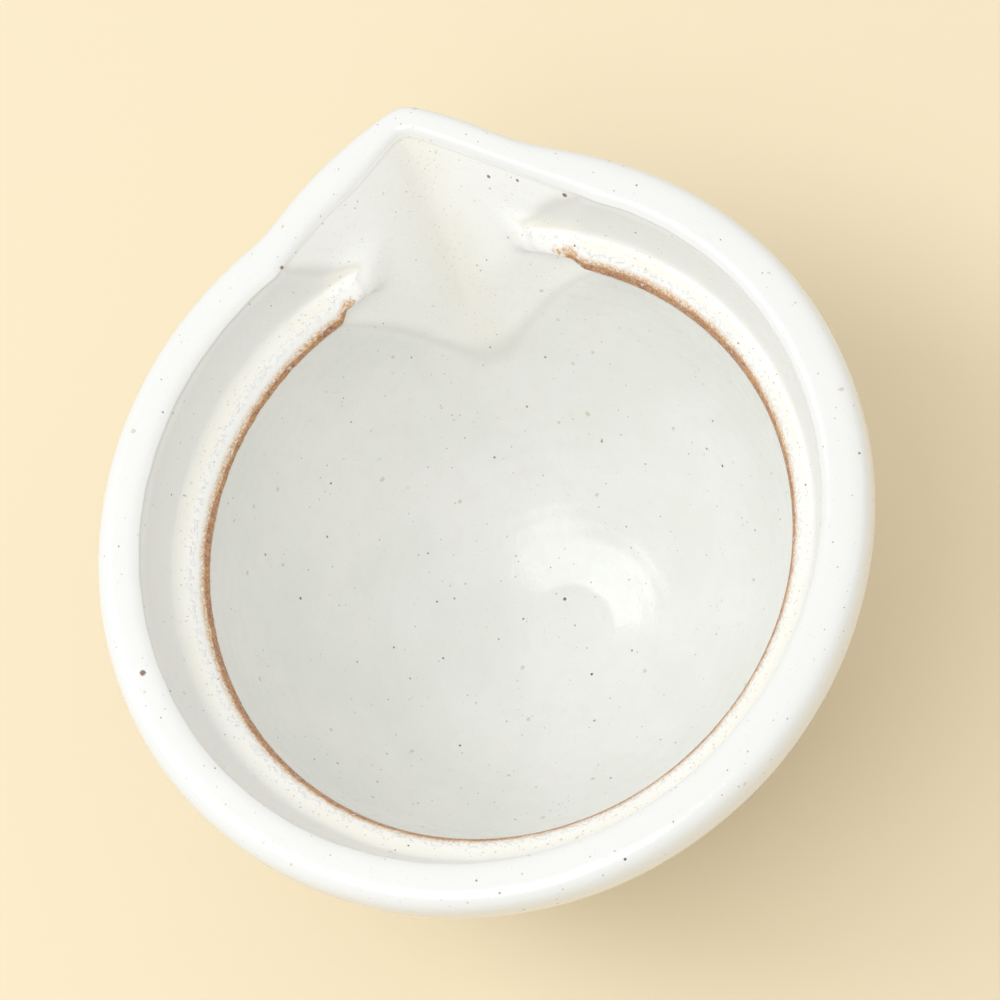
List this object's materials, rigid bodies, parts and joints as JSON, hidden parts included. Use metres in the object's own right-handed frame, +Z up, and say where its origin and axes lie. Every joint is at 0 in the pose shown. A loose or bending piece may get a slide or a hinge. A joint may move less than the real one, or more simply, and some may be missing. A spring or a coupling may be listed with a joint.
{
  "type": "mortar bowl",
  "caption": "Thick glazed stoneware mortar bowl with a rolled rim, a ledge inside it and a pointed pouring spout, on a flat unglazed foot.",
  "frame": {"origin": "centre of the foot's flat underside", "axes": "+Z up along the bowl's axis, +X towards the tip of the spout"},
  "size_m": [0.1951, 0.18, 0.101],
  "materials": {
    "white_glaze": "smooth semi-gloss white glaze with fine iron specks",
    "ledge_glaze": "cream pooled glaze with pinholes, breaking to rust brown on the sharp edge",
    "bare_clay": "matt unglazed buff stoneware"
  },
  "bodies": {
    "root": {"foot": "bare_clay", "bowl_wall": "white_glaze", "inner_ledge": "ledge_glaze", "rim_lip": "white_glaze", "pouring_spout": "white_glaze"}
  },
  "joints": []
}
